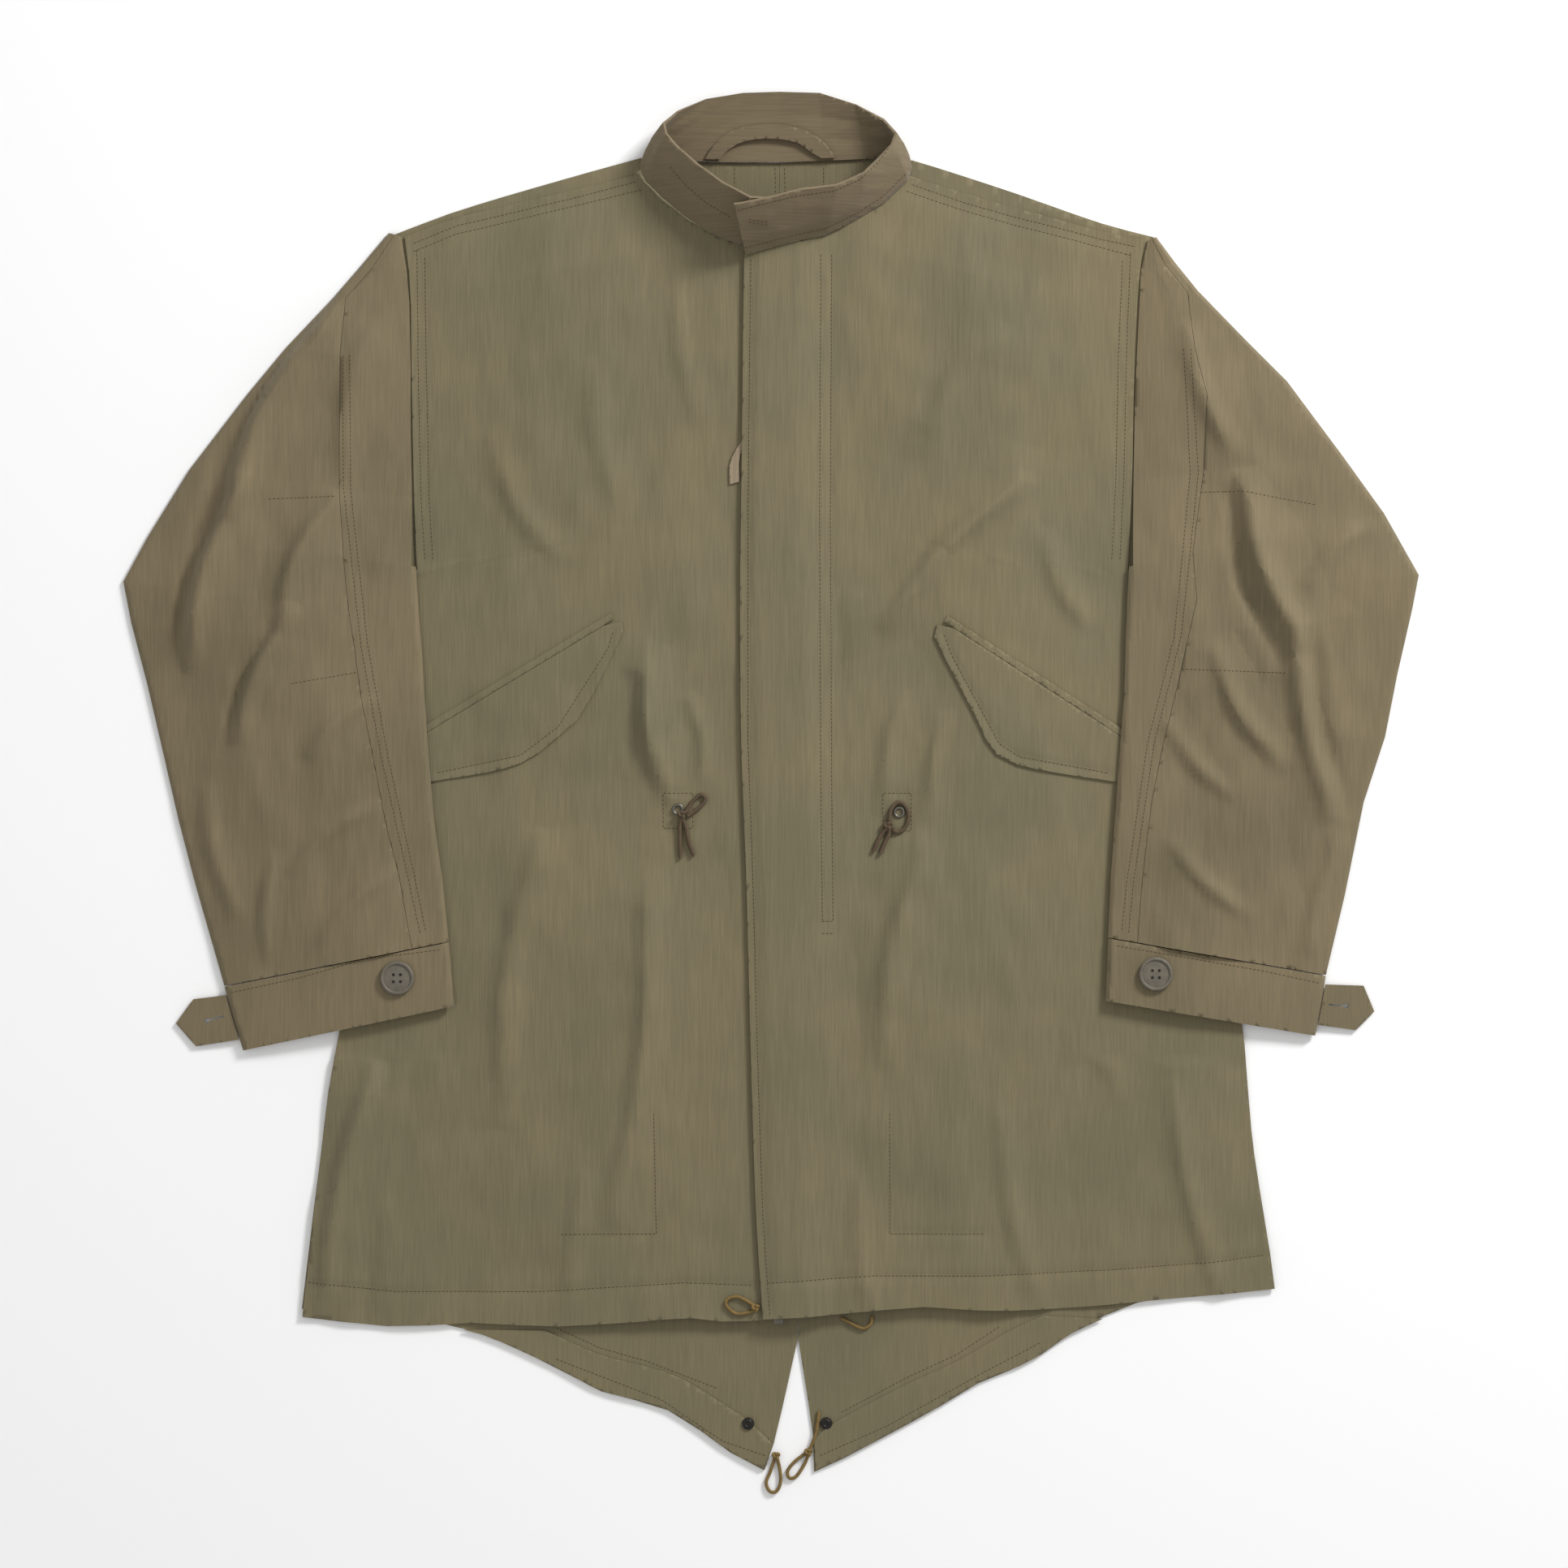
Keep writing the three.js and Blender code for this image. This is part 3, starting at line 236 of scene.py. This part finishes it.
# Stitched lines as polylines; the cloth is drawn down a little along each.
STITCHES = {
    "left_front": [
        [(270, 398), (246, 403), (180, 420), (145, 430), (104, 444)],
        [(268, 391), (246, 397), (180, 414), (145, 424), (100, 439)],
        [(267, 394), (264, 318), (262, 224), (259, 165)],
        [(261, 388), (258, 318), (256, 224), (253, 165)],
        [(37, 392), (36, 200), (37, 0), (38, -103)],
        [(45, 392), (44, 200), (45, 0), (46, -103)],
        [(37, -103), (46, -103)],
        [(37, -112), (46, -112)],
        [(-15, 388), (-17, 200), (-17, 30), (-13, -82), (-10, -202), (-6, -322), (-1, -395)],
        [(-3, -371), (74, -366), (161, -366), (249, -362), (330, -356), (366, -351)],
        [(83, -8), (104, -8), (104, -36), (83, -36), (83, -8)],
        [(88, -245), (88, -335), (158, -335)],
    ],
    "collar": [
        [(100, 451), (83, 434), (63, 421), (41, 410), (11, 403), (-20, 395)],
        [(87, 468), (79, 457), (66, 444), (47, 435), (20, 431), (-25, 420)],
        [(-75, 455), (-62, 440), (-48, 428), (-30, 417)],
        [(-17, 414.5), (-2, 412.5)],
        [(-17, 412.5), (-2, 410.5)],
    ],
    "right_sleeve_inner": [
        [(-317, 317), (-317, 219), (-304, 102), (-289, 20), (-269, -71), (-260, -112)],
        [(-312, 317), (-312, 219), (-299, 102), (-284, 20), (-264, -71), (-256, -110)],
    ],
    "left_sleeve_inner": [
        [(311, 322), (317, 230), (304, 109), (284, 29), (269, -72), (265, -112)],
        [(306, 322), (311, 230), (299, 109), (279, 29), (264, -72), (260, -110)],
    ],
    "right_front": [
        [(-266, 400), (-234, 413), (-150, 433), (-100, 446)],
        [(-266, 394), (-234, 407), (-150, 427), (-96, 440)],
        [(-263, 396), (-262, 311), (-260, 212), (-257, 165)],
        [(-257, 390), (-256, 311), (-254, 212), (-251, 165)],
        [(-344, -371), (-278, -378), (-173, -378), (-64, -371), (-14, -373)],
        [(-58, -8), (-80, -8), (-80, -34), (-58, -34), (-58, -8)],
        [(-87, -245), (-85, -335), (-156, -335)],
    ],
    "right_sleeve_outer": [
        [(-323, 212), (-373, 210)],
        [(-304, 82), (-356, 73)],
    ],
    "left_sleeve_outer": [
        [(315, 215), (348, 216), (404, 206)],
        [(304, 84), (382, 81)],
    ],
    "right_cuff": [[(-401, -156), (-350, -145), (-301, -131), (-245, -124)]],
    "left_cuff": [[(407, -149), (366, -140), (314, -131), (256, -121)]],
    "right_pocket_flap": [[(-248, 7), (-186, 20), (-158, 41), (-121, 99), (-117, 112)]],
    "left_pocket_flap": [[(250, 7), (184, 19), (169, 29), (134, 94), (128, 110)]],
    "right_back": [
        [(-27, 457), (-27, 434)],
        [(3, 457), (3.5, 434)],
        [(-40, -450), (-92, -430), (-127, -420), (-160, -405)],
        [(-2, -486), (-2, -500)],
    ],
    "left_back": [
        [(10, 457), (10.5, 434)],
        [(39, 457), (39, 436)],
        [(52, -468), (103, -441), (138, -425), (170, -404)],
    ],
    "right_tail_casing": [[(-4, -500), (-36, -489), (-82, -458), (-160, -428)]],
    "left_tail_casing": [[(36, -500), (86, -478), (158, -438), (200, -416)]],
}


def drawn_down(name, x, y):
    """How far the stitched lines draw the cloth down, in millimetres."""
    total = np.zeros_like(x)
    for line in STITCHES.get(name, []):
        for (x1, y1), (x2, y2) in zip(line, line[1:]):
            dx, dy = x2 - x1, y2 - y1
            t = np.clip(((x - x1) * dx + (y - y1) * dy) / (dx * dx + dy * dy), 0, 1)
            away = np.hypot(x - x1 - t * dx, y - y1 - t * dy)
            total = np.maximum(total, STITCH_DEPTH * np.exp(-((away / STITCH_REACH) ** 2)))
    return total


def on_front(x, y):
    """What the fronts and all that lies on them are raised by, in millimetres."""
    down = np.clip((146 - y) / 264, 0, 1)
    line = SLEEVE_LINE[0] + (SLEEVE_LINE[1] - SLEEVE_LINE[0]) * down
    clear = np.where(y > -205, smooth(4, 34, line - np.abs(x)), 1.0)
    off_fly = 1 - 0.85 * smooth(-30, -24, x) * (1 - smooth(50, 58, x))
    high = (creases(FRONT_CREASES, x, y) + ripples(x, y)) * off_fly
    return np.maximum(high, -0.9) * clear


def on_sleeve(x, y, z):
    """What a sleeve's upper layer is raised by, in millimetres."""
    side = -1 if x.mean() < 0 else 1
    top, flare = SIDE_SEAM[side]
    outside = np.abs(x) - top - (146 - y) * flare
    ground = 4.7 * (1 - smooth(15, 45, outside)) * (1 - smooth(160, 200, y))
    free = np.clip((z - ground - 2.0) / 4.5, 0, 1)
    high = creases(SLEEVE_CREASES, x, y) + 1.3 * ripples(x, y)
    return np.maximum(high, -0.5 * np.maximum(z - ground - 3, 0)) * free


def shape(obj, name):
    """Presses the creases into a dense copy."""
    count = len(obj.data.vertices)
    flat = np.empty(count * 3)
    obj.data.vertices.foreach_get("co", flat)
    points = flat.reshape(-1, 3)
    x, y, z = (points / MM).T
    if "front" in name or "pocket" in name or name in ("zip_pull", "right_zip_tape", "left_zip_tape"):
        points[:, 2] += (on_front(x, y) - drawn_down(name, x, y)) * MM
    elif "sleeve" in name or name.endswith("_cuff"):
        points[:, 2] += on_sleeve(x, y, z) * (0.35 if "cuff" in name else 1) * MM
    elif name == "collar":
        points[:, 1] += 0.5 * ripples(x * 2, z * 3) * MM * smooth(8, 30, z)
    obj.data.vertices.foreach_set("co", points.ravel())


def finish_mesh(obj, angle=0.7):
    bpy.ops.object.select_all(action="DESELECT")
    obj.select_set(True)
    bpy.context.view_layer.objects.active = obj
    bpy.ops.object.shade_smooth_by_angle(angle=angle)


def nodes_of(name):
    material = bpy.data.materials.new(name)
    material.use_nodes = True
    tree = material.node_tree
    shader = tree.nodes["Principled BSDF"]
    return material, tree, shader


def ramp(tree, low, high, a, b):
    made = tree.nodes.new("ShaderNodeValToRGB")
    made.color_ramp.elements[0].position = low
    made.color_ramp.elements[0].color = (*a, 1)
    made.color_ramp.elements[1].position = high
    made.color_ramp.elements[1].color = (*b, 1)
    return made


def noise_node(tree, scale, detail=4, stretch=(1, 1, 1)):
    place = tree.nodes.new("ShaderNodeTexCoord")
    mapping = tree.nodes.new("ShaderNodeMapping")
    mapping.inputs["Scale"].default_value = stretch
    tree.links.new(place.outputs["Object"], mapping.inputs["Vector"])
    made = tree.nodes.new("ShaderNodeTexNoise")
    made.inputs["Scale"].default_value = scale
    made.inputs["Detail"].default_value = detail
    tree.links.new(mapping.outputs["Vector"], made.inputs["Vector"])
    return made


def linear(rgb):
    return tuple((c / 255 / 12.92) if c <= 10 else ((c / 255 + 0.055) / 1.055) ** 2.4 for c in rgb)


def cloth_material(name, rgb, other, turn=0.0):
    """Olive sateen: soft blotches, slubs along the warp and a fine uneven bump."""
    material, tree, shader = nodes_of(name)
    blotch = noise_node(tree, 9, 5)
    colour = ramp(tree, 0.3, 0.75, linear(rgb), linear(other))
    tree.links.new(blotch.outputs["Fac"], colour.inputs["Fac"])
    slub = noise_node(tree, 1, 6, (760, 34, 34) if not turn else (34, 760, 34))
    shade = ramp(tree, 0.3, 0.7, (0.88, 0.88, 0.88), (1.07, 1.07, 1.07))
    tree.links.new(slub.outputs["Fac"], shade.inputs["Fac"])
    mixed = tree.nodes.new("ShaderNodeMixRGB")
    mixed.blend_type = "MULTIPLY"
    mixed.inputs["Fac"].default_value = 1
    tree.links.new(colour.outputs["Color"], mixed.inputs["Color1"])
    tree.links.new(shade.outputs["Color"], mixed.inputs["Color2"])
    tree.links.new(mixed.outputs["Color"], shader.inputs["Base Color"])
    bump = tree.nodes.new("ShaderNodeBump")
    bump.inputs["Strength"].default_value = 0.35
    bump.inputs["Distance"].default_value = 0.0006
    tree.links.new(slub.outputs["Fac"], bump.inputs["Height"])
    tree.links.new(bump.outputs["Normal"], shader.inputs["Normal"])
    shader.inputs["Roughness"].default_value = 0.82
    shader.inputs["Sheen Weight"].default_value = 0.12
    shader.inputs["Sheen Roughness"].default_value = 0.5
    return material


def plain_material(name, rgb, roughness, metallic=0.0):
    material, tree, shader = nodes_of(name)
    grain = noise_node(tree, 260, 5)
    dark = tuple(c * 0.72 for c in linear(rgb))
    colour = ramp(tree, 0.3, 0.7, dark, linear(rgb))
    tree.links.new(grain.outputs["Fac"], colour.inputs["Fac"])
    tree.links.new(colour.outputs["Color"], shader.inputs["Base Color"])
    shader.inputs["Roughness"].default_value = roughness
    shader.inputs["Metallic"].default_value = metallic
    return material


MATERIALS = {
    "shell": cloth_material("shell", (118, 107, 78), (104, 98, 73)),
    "sleeve": cloth_material("sleeve_shell", (119, 105, 78), (104, 94, 68)),
    "collar": cloth_material("collar", (117, 102, 77), (103, 92, 68), 1),
    "trim": cloth_material("trim", (112, 100, 74), (98, 88, 64)),
    "thread": plain_material("thread", (82, 68, 45), 0.8),
    "drawcord": plain_material("drawcord", (86, 70, 50), 0.85),
    "shock_cord": plain_material("shock_cord", (124, 100, 52), 0.8),
    "metal": plain_material("metal", (120, 116, 106), 0.4, 0.8),
    "dark_metal": plain_material("dark_metal", (52, 49, 45), 0.45, 0.7),
    "button": plain_material("button", (104, 97, 84), 0.55),
    "ribbon": cloth_material("ribbon", (150, 134, 110), (132, 117, 94)),
    # Near-black colour for the discs laid in the button holes: painted shade standing in for the dark inside
    # each hole.
    "painted_hole_shade": plain_material("painted_hole_shade", (28, 24, 18), 0.9),
}


def dress(obj, material):
    obj.data.materials.clear()
    obj.data.materials.append(MATERIALS[material])
    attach(obj, "root")


def slot_of(name):
    if name in ("collar", "hanger_loop"):
        return "collar"
    if name == "zip_pull":
        return "ribbon"
    return "trim" if name.endswith(("_tape", "_tab")) else "shell"


cloth = {}
for name, cell in CLOTH.items():
    obj = dense_copy(name, cell)
    shape(obj, name)
    finish_mesh(obj)
    dress(obj, "sleeve" if "sleeve" in name or "cuff" in name else slot_of(name))
    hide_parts(name)
    cloth[name] = obj


def tree_of(obj):
    mesh = obj.data
    mesh.calc_loop_triangles()
    return BVHTree.FromPolygons(
        [v.co.copy() for v in mesh.vertices], [list(t.vertices) for t in mesh.loop_triangles]
    )


def height_on(trees, x, y):
    """The highest cloth of these at a place, in metres, or None."""
    best = None
    for one in trees:
        hit = one.ray_cast(Vector((x * MM, y * MM, 0.2)), Vector((0, 0, -1)))
        if hit[0] is not None and (best is None or hit[0].z > best):
            best = hit[0].z
    return best


trees = {name: tree_of(obj) for name, obj in cloth.items()}
ALL_TREES = list(trees.values())


def stitch(name):
    """A piece's stitches: short rounded threads laid along its lines."""
    bm = bmesh.new()
    for line in STITCHES[name]:
        for (x1, y1), (x2, y2) in zip(line, line[1:]):
            length = math.hypot(x2 - x1, y2 - y1)
            steps = max(1, int(length / STITCH_PITCH))
            ux, uy = (x2 - x1) / length, (y2 - y1) / length
            for k in range(steps):
                s = (k + 0.5) * length / steps
                cx, cy = x1 + ux * s, y1 + uy * s
                top = height_on([trees[name]], cx, cy)
                if top is None or height_on(ALL_TREES, cx, cy) > top + 0.0003:
                    continue
                ring = []
                for a, w in ((-1.1, 0.18), (-0.4, 0.38), (0.4, 0.38), (1.1, 0.18)):
                    px, py = cx + ux * a, cy + uy * a
                    ring.append([
                        bm.verts.new(((px - uy * w) * MM, (py + ux * w) * MM, top - 0.0001)),
                        bm.verts.new((px * MM, py * MM, top + w * 0.8 * MM)),
                        bm.verts.new(((px + uy * w) * MM, (py - ux * w) * MM, top - 0.0001)),
                    ])
                for a, b in zip(ring, ring[1:]):
                    for q in range(3):
                        bm.faces.new((a[q], a[(q + 1) % 3], b[(q + 1) % 3], b[q]))
                bm.faces.new(ring[0][::-1])
                bm.faces.new(ring[-1])
    bmesh.ops.recalc_face_normals(bm, faces=bm.faces)
    mesh = bpy.data.meshes.new(f"stitches_{name}")
    bm.to_mesh(mesh)
    bm.free()
    obj = bpy.data.objects.new(f"stitches_{name}", mesh)
    bpy.context.scene.collection.objects.link(obj)
    dress(obj, "thread")
    return obj


threads = {name: stitch(name) for name in STITCHES}


def tube(name, route, diameter, material, replaced):
    """A cord along a route of x, y and height over what it lies on."""
    curve = bpy.data.curves.new(name, "CURVE")
    curve.dimensions = "3D"
    curve.bevel_depth = diameter / 2 * MM
    curve.bevel_resolution = 4
    curve.use_fill_caps = True
    points = [Vector((x, y, 0)) for x, y, over in route]
    smooth_route = []
    for i in range(len(points) - 1):
        p0, p1 = points[max(i - 1, 0)], points[i]
        p2, p3 = points[i + 1], points[min(i + 2, len(points) - 1)]
        for k in range(6):
            t = k / 6
            place = 0.5 * (2 * p1 + (p2 - p0) * t + (2 * p0 - 5 * p1 + 4 * p2 - p3) * t * t
                           + (3 * p1 - p0 - 3 * p2 + p3) * t**3)
            over = route[i][2] + (route[i + 1][2] - route[i][2]) * t
            smooth_route.append((place.x, place.y, over))
    smooth_route.append((points[-1].x, points[-1].y, route[-1][2]))
    laid = []
    for x, y, over in smooth_route:
        laid.append([x, y, (height_on(ALL_TREES, x, y) or 0) / MM + diameter / 2 + 0.15 + over])
    for _ in range(3):
        for i in range(1, len(laid) - 1):
            laid[i][2] = max(laid[i][2], (laid[i - 1][2] + laid[i + 1][2]) / 2)
    spline = curve.splines.new("POLY")
    spline.points.add(len(laid) - 1)
    for point, (x, y, z) in zip(spline.points, laid):
        point.co = (x * MM, y * MM, z * MM, 1)
    obj = bpy.data.objects.new(name, curve)
    bpy.context.scene.collection.objects.link(obj)
    dress(obj, material)
    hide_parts(*replaced)
    length = sum(math.dist(a, b) for a, b in zip(laid, laid[1:])) * MM
    return obj, [c * MM for c in laid[0]], length


def knot(name, x, y, size, material):
    """An overhand knot, a cord wound on itself."""
    curve = bpy.data.curves.new(name, "CURVE")
    curve.dimensions = "3D"
    curve.bevel_depth = size * 0.42 * MM
    curve.bevel_resolution = 3
    spline = curve.splines.new("POLY")
    spline.points.add(35)
    base = (height_on(ALL_TREES, x, y) or 0) / MM + size * 0.95
    for k, point in enumerate(spline.points):
        a = 2 * math.pi * k / 36
        px = size * 0.3 * (math.sin(a) + 2 * math.sin(2 * a))
        py = size * 0.3 * (math.cos(a) - 2 * math.cos(2 * a))
        pz = -size * 0.4 * math.sin(3 * a)
        point.co = ((x + px) * MM, (y + py) * MM, (base + pz) * MM, 1)
    spline.use_cyclic_u = True
    obj = bpy.data.objects.new(name, curve)
    bpy.context.scene.collection.objects.link(obj)
    dress(obj, material)
    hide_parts(name)
    return obj


# Cord diameters and knot sizes, in millimetres.
DRAWCORD = 3
SHOCK_CORD = 2.5
DRAWCORD_KNOT = 3.0
SHOCK_CORD_KNOT = 2.7
EYELETS = {"right": (-69, -20), "left": (95, -22)}
KNOTS = {"right": (-66, -24), "left": (86.5, -32)}
# Each drawcord: its loop, then its two free ends through the knot, as x, y and extra height.
DRAWCORDS = {
    "right": (
        [(-63, -22, 1), (-58, -14, 0), (-52, -9, 0), (-48.5, -12.5, 0), (-53, -18.5, 0), (-62, -25, 1)],
        [(-67, -56, 0), (-67.5, -44, 0), (-67.5, -32, 0.5), (-66, -27, 1.5), (-63.5, -32, 0.5), (-61, -44, 0),
         (-57, -54, 0)],
    ),
    "left": (
        [(88, -29, 1), (88.6, -21, 0), (94, -14.8, 0), (100, -18, 0), (102, -26, 0), (99, -34, 0),
         (93.5, -37, 0), (90, -34.6, 1)],
        [(76, -51, 0), (80, -42, 0), (84, -36, 0.5), (87, -34, 1.5), (87.5, -38, 0.5), (84.8, -44, 0),
         (81, -53, 0)],
    ),
}
for side in ("right", "left"):
    loop, ends = DRAWCORDS[side]
    kx, ky = KNOTS[side]
    tied = knot(f"{side}_waist_knot", kx, ky, DRAWCORD_KNOT, "drawcord")
    made, start, length = tube(f"{side}_waist_loop", loop, DRAWCORD, "drawcord", [f"{side}_waist_loop"])
    made, start, length = tube(
        f"{side}_waist_ends", ends, DRAWCORD, "drawcord", [f"{side}_waist_end_1", f"{side}_waist_end_2"]
    )

SHOCK_CORDS = {
    "right_hem_loop": ([(-12, -388, 0), (-24, -381.5, 0), (-32, -383, 0), (-33, -388, 0), (-25, -394, 0),
                        (-12, -391.6, 0)], "right_hem_knot", (-11.5, -389.5)),
    "left_hem_loop": ([(52, -397.5, 0), (57, -400.5, 0), (63, -403.5, 0), (69, -405.5, 0), (74, -402, 0),
                       (75, -396.5, 0)], None, None),
    "right_tail_loop": ([(3, -501, 0), (-0.6, -512, 0), (-3.6, -520, 0), (-1, -526.5, 0), (4, -526.5, 0),
                         (7, -520, 0), (6.6, -511, 0), (4.4, -501, 0)], "right_tail_knot", (3.6, -500)),
    "left_tail_loop": ([(35.6, -467, 0), (34.6, -475, 0), (33, -484, 0), (28, -496, 0), (18, -504, 0),
                        (12.5, -511, 0), (13.4, -516.5, 0), (18.6, -515.5, 0), (25, -506, 0),
                        (28, -498, 0)], "left_tail_knot", (27.6, -497.5)),
}
for name, (route, knot_name, place) in SHOCK_CORDS.items():
    replaced = [name] + (["left_tail_strand"] if name == "left_tail_loop" else [])
    made, start, length = tube(name, route, SHOCK_CORD, "shock_cord", replaced)
    tied = [knot(knot_name, *place, SHOCK_CORD_KNOT, "shock_cord")] if knot_name else []


def shaped(name, material, node, angle=0.6):
    """The last primitive, named, smoothed and dressed."""
    obj = bpy.context.object
    obj.name = name
    bpy.ops.object.transform_apply(location=True, rotation=True, scale=True)
    bpy.ops.object.shade_smooth_by_angle(angle=angle)
    dress(obj, material)
    if node:
        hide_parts(node)
    return obj


def bevelled(wide):
    modifier = bpy.context.object.modifiers.new("edge", "BEVEL")
    modifier.width = wide
    modifier.segments = 3
    bpy.ops.object.modifier_apply(modifier=modifier.name)


for side, (x, y) in {"right": (-277, -145), "left": (285, -142)}.items():
    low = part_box(f"{side}_cuff_button")[0]
    base = max(low.z, (height_on(ALL_TREES, x, y) or 0) + 0.0003)
    shift = base - low.z
    place = (x * MM, y * MM)
    bpy.ops.mesh.primitive_cylinder_add(
        vertices=64, radius=0.0127, depth=0.0022, location=(*place, low.z + 0.0011 + shift)
    )
    bevelled(0.0007)
    shaped(f"{side}_cuff_button", "button", f"{side}_cuff_button")
    bpy.ops.mesh.primitive_torus_add(
        major_radius=0.0112, minor_radius=0.0014, major_segments=64, minor_segments=12,
        location=(*place, low.z + 0.0019 + shift),
    )
    shaped(f"{side}_button_rim", "button", None)
    # Four thin dark discs on the button's top: painted shade where its holes are.
    for k, (sx, sy) in enumerate(((-1, -1), (1, -1), (1, 1), (-1, 1))):
        bpy.ops.mesh.primitive_cylinder_add(
            vertices=20, radius=0.0011, depth=0.0003,
            location=(place[0] + sx * 0.0026, place[1] + sy * 0.0026, low.z + 0.0022 + shift),
        )
        shaped(f"{side}_button_hole_{k}", "painted_hole_shade", None)

for side, (x, y) in EYELETS.items():
    z = height_on(ALL_TREES, x, y) + 0.0006
    bpy.ops.mesh.primitive_torus_add(
        major_radius=0.0034, minor_radius=0.0011, major_segments=40, minor_segments=12,
        location=(x * MM, y * MM, z),
    )
    shaped(f"{side}_waist_eyelet", "metal", f"{side}_waist_eyelet")

for side, (x, y) in {"right": (-17, -476), "left": (41, -476)}.items():
    z = height_on(ALL_TREES, x, y)
    bpy.ops.mesh.primitive_cylinder_add(
        vertices=40, radius=0.0046, depth=0.0012, location=(x * MM, y * MM, z + 0.0008)
    )
    bevelled(0.0004)
    shaped(f"{side}_tail_snap", "dark_metal", f"{side}_tail_snap")
    bpy.ops.mesh.primitive_torus_add(
        major_radius=0.0024, minor_radius=0.0008, major_segments=32, minor_segments=10,
        location=(x * MM, y * MM, z + 0.0015),
    )
    shaped(f"{side}_snap_socket", "dark_metal", None)

for name in ("zip_slider", "zip_stop"):
    low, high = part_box(name)
    middle = (low + high) / 2
    bpy.ops.mesh.primitive_cube_add(size=1, location=middle)
    bpy.context.object.scale = high - low
    bpy.ops.object.transform_apply(location=False, rotation=False, scale=True)
    bevelled(0.0005)
    shaped(name, "metal", name)
